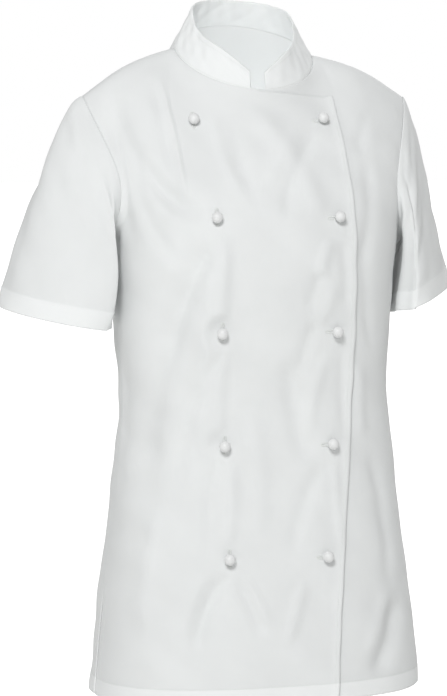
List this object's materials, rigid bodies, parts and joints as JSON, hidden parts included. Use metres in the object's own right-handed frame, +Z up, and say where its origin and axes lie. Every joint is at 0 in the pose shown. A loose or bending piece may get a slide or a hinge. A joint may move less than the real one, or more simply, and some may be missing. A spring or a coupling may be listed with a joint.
{
  "type": "chef jacket",
  "caption": "Women's short-sleeved double-breasted chef jacket with a stand collar and ball studs, filled out as if worn, with open neck, hem and cuffs.",
  "frame": {"origin": "centre of the neck opening, 4 mm below the points where the collar meets the shoulder seams", "axes": "+Z up, the front faces -Y, the wearer's right side is at -X"},
  "size_m": [0.5423, 0.29, 0.7844],
  "materials": {
    "jacket_cloth": "white polycotton, woven, smooth and pressed",
    "collar_cloth": "white polycotton over a stiff interlining",
    "stud": "white moulded rubbery plastic, satin"
  },
  "bodies": {
    "root": {"right_front": "jacket_cloth", "left_front": "jacket_cloth", "back": "jacket_cloth", "right_sleeve": "jacket_cloth", "left_sleeve": "jacket_cloth", "collar": "collar_cloth", "stud_right_1": "stud", "stud_left_1": "stud", "stud_right_2": "stud", "stud_left_2": "stud", "stud_right_3": "stud", "stud_left_3": "stud", "stud_right_4": "stud", "stud_left_4": "stud", "stud_right_5": "stud", "stud_left_5": "stud"}
  },
  "joints": []
}
